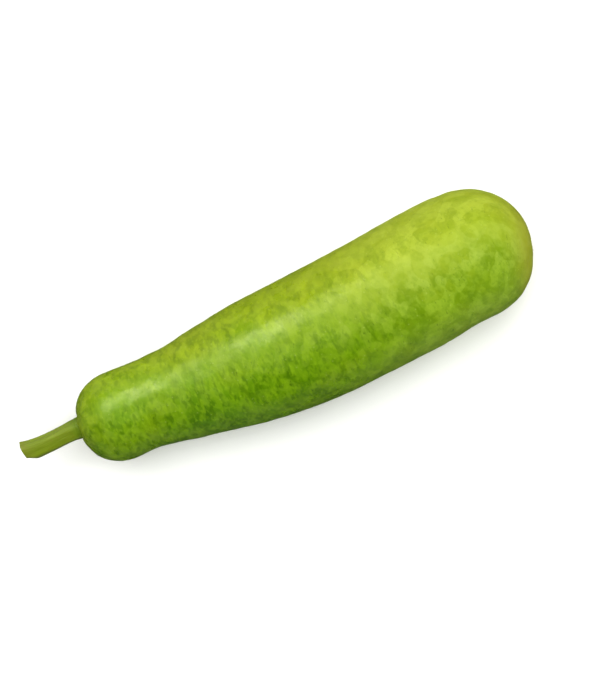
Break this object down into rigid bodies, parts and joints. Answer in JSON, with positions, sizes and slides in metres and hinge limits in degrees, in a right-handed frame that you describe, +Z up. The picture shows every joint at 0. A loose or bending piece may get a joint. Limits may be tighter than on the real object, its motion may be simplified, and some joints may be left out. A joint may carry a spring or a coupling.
{
  "type": "bottle gourd",
  "caption": "Long young bottle gourd lying on its side: slim rounded stem end with a cut stalk, thicker belly, and a rounded blossom end with a small scar.",
  "frame": {"origin": "on the surface that the gourd lies on, under the middle of its bounding box", "axes": "+X from the cut stalk to the blossom end, +Z up; the gourd's gentle bend lies level and bulges towards -Y"},
  "size_m": [0.3316, 0.0857, 0.0815],
  "materials": {
    "skin": "satin",
    "stalk": "matte"
  },
  "bodies": {
    "root": {"fruit": "skin", "stem": "stalk"}
  },
  "joints": []
}
